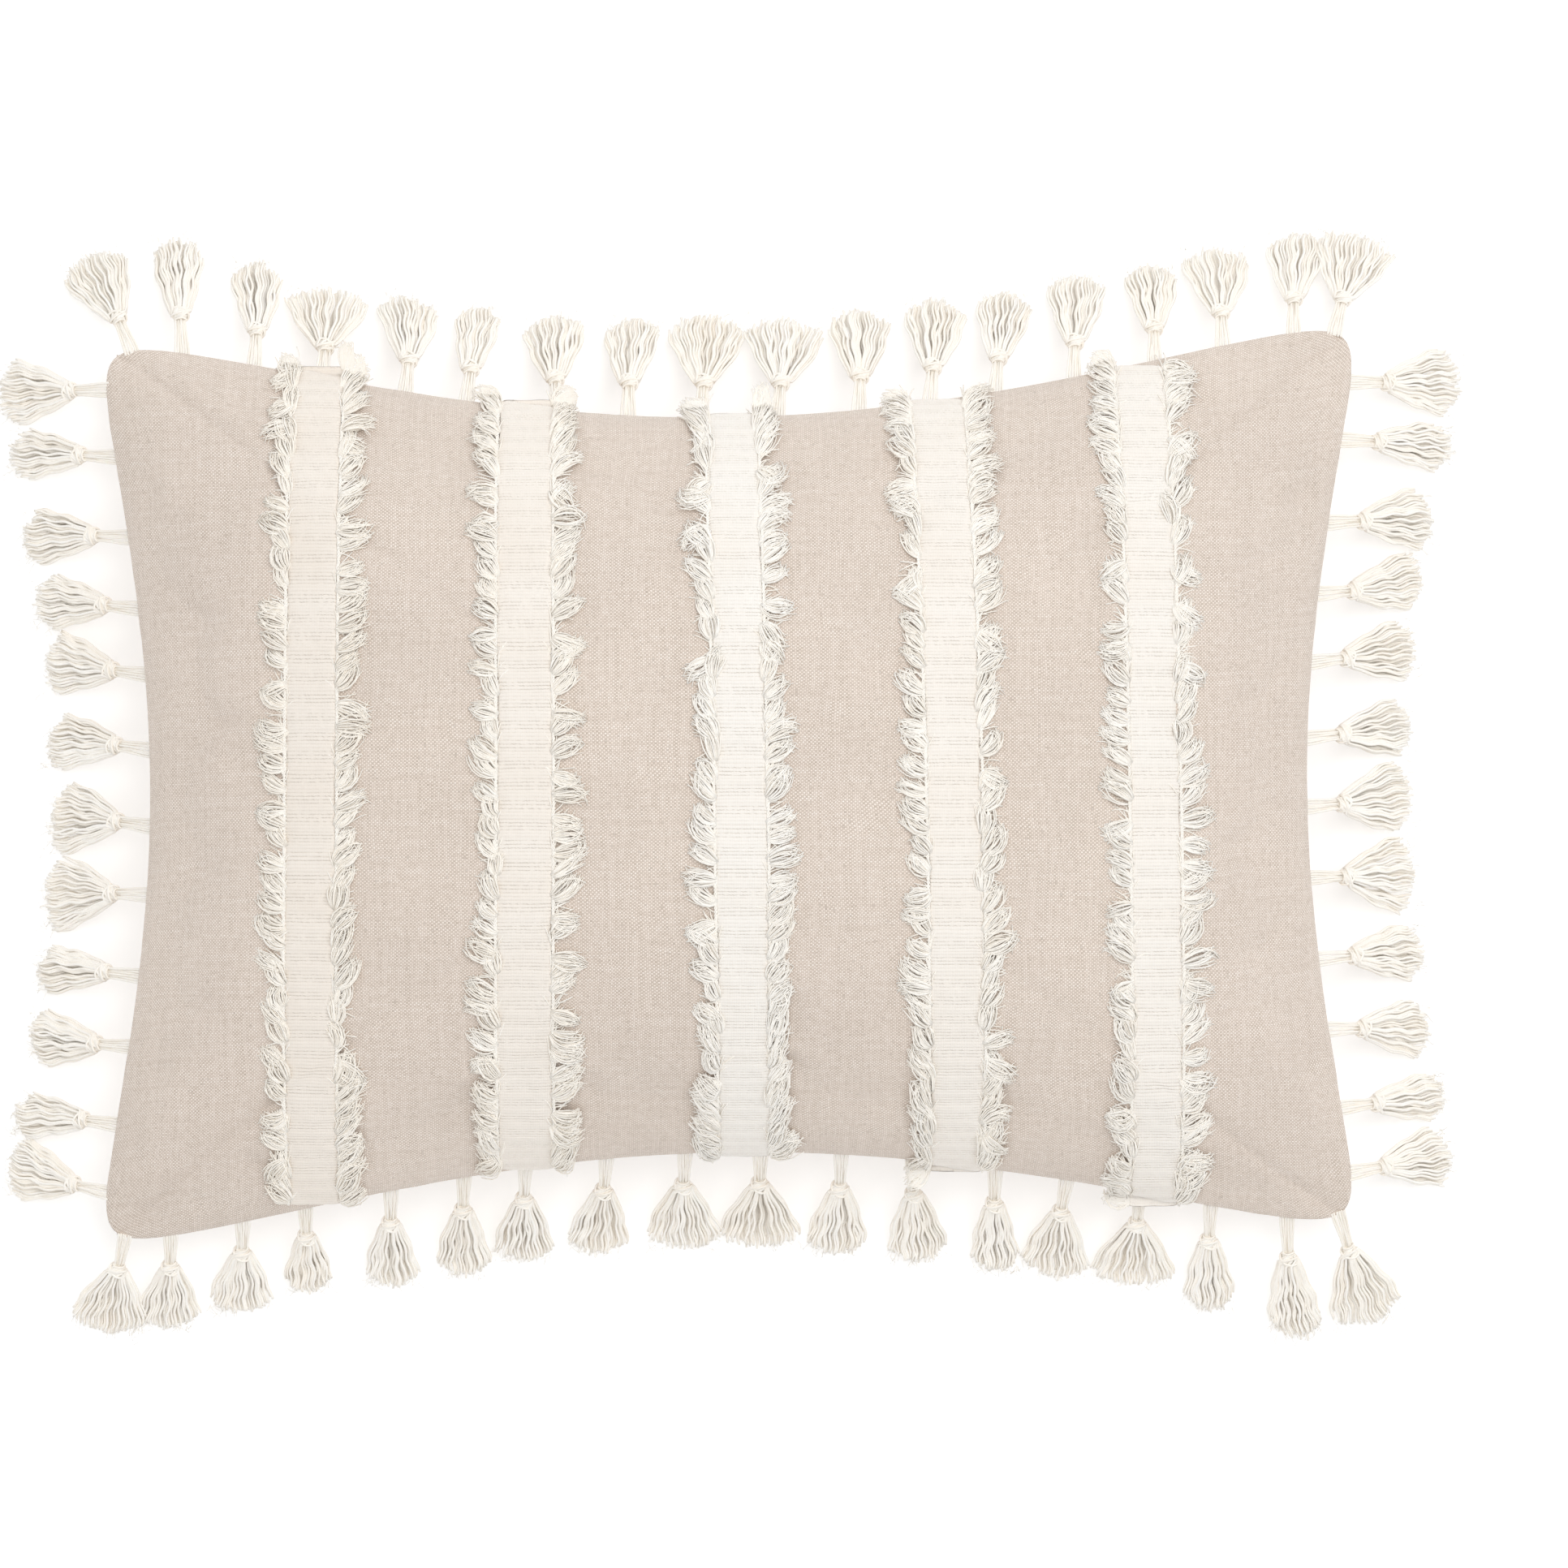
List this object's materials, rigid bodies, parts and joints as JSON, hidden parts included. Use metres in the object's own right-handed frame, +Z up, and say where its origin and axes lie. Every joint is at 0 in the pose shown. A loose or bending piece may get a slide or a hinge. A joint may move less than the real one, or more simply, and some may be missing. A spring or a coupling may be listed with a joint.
{
  "type": "throw pillow",
  "caption": "Rectangular lumbar throw pillow with vertical fringed woven tapes on a linen-look front, tassels all round the seam and a zipped back.",
  "frame": {"origin": "centre of the flat underside that the pillow rests on", "axes": "+X along the long side, +Y along the short side, +Z up out of the front panel with the pillow lying face up"},
  "size_m": [0.5912, 0.4471, 0.1176],
  "materials": {
    "linen": "matt plain weave",
    "cotton": "matt 2-ply yarn",
    "casing": "matt non-woven",
    "filling": "soft fibre",
    "zipper_webbing": "matt twill",
    "zipper_nylon": "satin",
    "zipper_metal": "satin"
  },
  "bodies": {
    "pillow": {"cover_back_lower": "linen", "cover_back_upper": "linen", "cover_front": "linen", "insert_casing_back": "casing", "insert_casing_front": "casing", "insert_fill": "filling", "stripe_1": "cotton", "stripe_2": "cotton", "stripe_3": "cotton", "stripe_4": "cotton", "stripe_5": "cotton", "zipper_coil_lower": "zipper_nylon", "zipper_coil_upper": "zipper_nylon", "zipper_stop_bottom": "zipper_metal", "zipper_stop_top": "zipper_metal", "zipper_tape_lower": "zipper_webbing", "zipper_tape_upper": "zipper_webbing"},
    "tassels_top_1_row": {"tassels_top_1": "cotton"},
    "tassels_top_2_row": {"tassels_top_2": "cotton"},
    "tassels_top_3_row": {"tassels_top_3": "cotton"},
    "tassels_top_4_row": {"tassels_top_4": "cotton"},
    "tassels_top_5_row": {"tassels_top_5": "cotton"},
    "tassels_top_6_row": {"tassels_top_6": "cotton"},
    "tassels_bottom_1_row": {"tassels_bottom_1": "cotton"},
    "tassels_bottom_2_row": {"tassels_bottom_2": "cotton"},
    "tassels_bottom_3_row": {"tassels_bottom_3": "cotton"},
    "tassels_bottom_4_row": {"tassels_bottom_4": "cotton"},
    "tassels_bottom_5_row": {"tassels_bottom_5": "cotton"},
    "tassels_bottom_6_row": {"tassels_bottom_6": "cotton"},
    "tassels_left_1_row": {"tassels_left_1": "cotton"},
    "tassels_left_2_row": {"tassels_left_2": "cotton"},
    "tassels_left_3_row": {"tassels_left_3": "cotton"},
    "tassels_left_4_row": {"tassels_left_4": "cotton"},
    "tassels_right_1_row": {"tassels_right_1": "cotton"},
    "tassels_right_2_row": {"tassels_right_2": "cotton"},
    "tassels_right_3_row": {"tassels_right_3": "cotton"},
    "tassels_right_4_row": {"tassels_right_4": "cotton"},
    "zipper_slider_body": {"zipper_slider": "zipper_metal"},
    "zipper_pull_tab": {"zipper_pull": "zipper_metal"}
  },
  "joints": [
    {"name": "tassels_top_1_swing", "type": "hinge", "parent": "pillow", "child": "tassels_top_1_row", "pos_m": [-0.22065, 0.1791, 0.02726], "axis": [0.9863, -0.1345, 0.0959], "range_deg": [-40, 110]},
    {"name": "tassels_top_2_swing", "type": "hinge", "parent": "pillow", "child": "tassels_top_2_row", "pos_m": [-0.135, 0.16558, 0.03385], "axis": [0.9861, -0.1556, 0.0578], "range_deg": [-40, 110]},
    {"name": "tassels_top_3_swing", "type": "hinge", "parent": "pillow", "child": "tassels_top_3_row", "pos_m": [-0.045, 0.1555, 0.03737], "axis": [0.9979, -0.0612, 0.0195], "range_deg": [-40, 110]},
    {"name": "tassels_top_4_swing", "type": "hinge", "parent": "pillow", "child": "tassels_top_4_row", "pos_m": [0.045, 0.1555, 0.03737], "axis": [0.9979, 0.0612, -0.0195], "range_deg": [-40, 110]},
    {"name": "tassels_top_5_swing", "type": "hinge", "parent": "pillow", "child": "tassels_top_5_row", "pos_m": [0.135, 0.16558, 0.03385], "axis": [0.9861, 0.1556, -0.0578], "range_deg": [-40, 110]},
    {"name": "tassels_top_6_swing", "type": "hinge", "parent": "pillow", "child": "tassels_top_6_row", "pos_m": [0.22065, 0.1791, 0.02726], "axis": [0.9863, 0.1345, -0.0959], "range_deg": [-40, 110]},
    {"name": "tassels_bottom_1_swing", "type": "hinge", "parent": "pillow", "child": "tassels_bottom_1_row", "pos_m": [-0.22065, -0.1791, 0.02726], "axis": [-0.9863, -0.1345, -0.0959], "range_deg": [-40, 110]},
    {"name": "tassels_bottom_2_swing", "type": "hinge", "parent": "pillow", "child": "tassels_bottom_2_row", "pos_m": [-0.135, -0.16558, 0.03385], "axis": [-0.9861, -0.1556, -0.0578], "range_deg": [-40, 110]},
    {"name": "tassels_bottom_3_swing", "type": "hinge", "parent": "pillow", "child": "tassels_bottom_3_row", "pos_m": [-0.045, -0.1555, 0.03737], "axis": [-0.9979, -0.0612, -0.0195], "range_deg": [-40, 110]},
    {"name": "tassels_bottom_4_swing", "type": "hinge", "parent": "pillow", "child": "tassels_bottom_4_row", "pos_m": [0.045, -0.1555, 0.03737], "axis": [-0.9979, 0.0612, 0.0195], "range_deg": [-40, 110]},
    {"name": "tassels_bottom_5_swing", "type": "hinge", "parent": "pillow", "child": "tassels_bottom_5_row", "pos_m": [0.135, -0.16558, 0.03385], "axis": [-0.9861, 0.1556, 0.0578], "range_deg": [-40, 110]},
    {"name": "tassels_bottom_6_swing", "type": "hinge", "parent": "pillow", "child": "tassels_bottom_6_row", "pos_m": [0.22065, -0.1791, 0.02726], "axis": [-0.9863, 0.1345, 0.0959], "range_deg": [-40, 110]},
    {"name": "tassels_left_1_swing", "type": "hinge", "parent": "pillow", "child": "tassels_left_1_row", "pos_m": [-0.25052, 0.13419, 0.02997], "axis": [-0.1353, 0.9844, -0.1123], "range_deg": [-40, 110]},
    {"name": "tassels_left_2_swing", "type": "hinge", "parent": "pillow", "child": "tassels_left_2_row", "pos_m": [-0.24071, 0.04473, 0.03677], "axis": [-0.0679, 0.997, -0.0379], "range_deg": [-40, 110]},
    {"name": "tassels_left_3_swing", "type": "hinge", "parent": "pillow", "child": "tassels_left_3_row", "pos_m": [-0.24071, -0.04473, 0.03677], "axis": [0.0679, 0.997, 0.0379], "range_deg": [-40, 110]},
    {"name": "tassels_left_4_swing", "type": "hinge", "parent": "pillow", "child": "tassels_left_4_row", "pos_m": [-0.25052, -0.13419, 0.02997], "axis": [0.1353, 0.9844, 0.1123], "range_deg": [-40, 110]},
    {"name": "tassels_right_1_swing", "type": "hinge", "parent": "pillow", "child": "tassels_right_1_row", "pos_m": [0.25052, 0.13419, 0.02997], "axis": [-0.1353, -0.9844, 0.1123], "range_deg": [-40, 110]},
    {"name": "tassels_right_2_swing", "type": "hinge", "parent": "pillow", "child": "tassels_right_2_row", "pos_m": [0.24071, 0.04473, 0.03677], "axis": [-0.0679, -0.997, 0.0379], "range_deg": [-40, 110]},
    {"name": "tassels_right_3_swing", "type": "hinge", "parent": "pillow", "child": "tassels_right_3_row", "pos_m": [0.24071, -0.04473, 0.03677], "axis": [0.0679, -0.997, -0.0379], "range_deg": [-40, 110]},
    {"name": "tassels_right_4_swing", "type": "hinge", "parent": "pillow", "child": "tassels_right_4_row", "pos_m": [0.25052, -0.13419, 0.02997], "axis": [0.1353, -0.9844, -0.1123], "range_deg": [-40, 110]},
    {"name": "zipper_slide", "type": "slide", "parent": "pillow", "child": "zipper_slider_body", "axis": [1, 0, 0], "range_m": [-0.29, 0]},
    {"name": "zipper_pull_turn", "type": "hinge", "parent": "zipper_slider_body", "child": "zipper_pull_tab", "pos_m": [0.1485, -0.075, 0.0019], "axis": [0, -1, 0], "range_deg": [0, 180]}
  ]
}
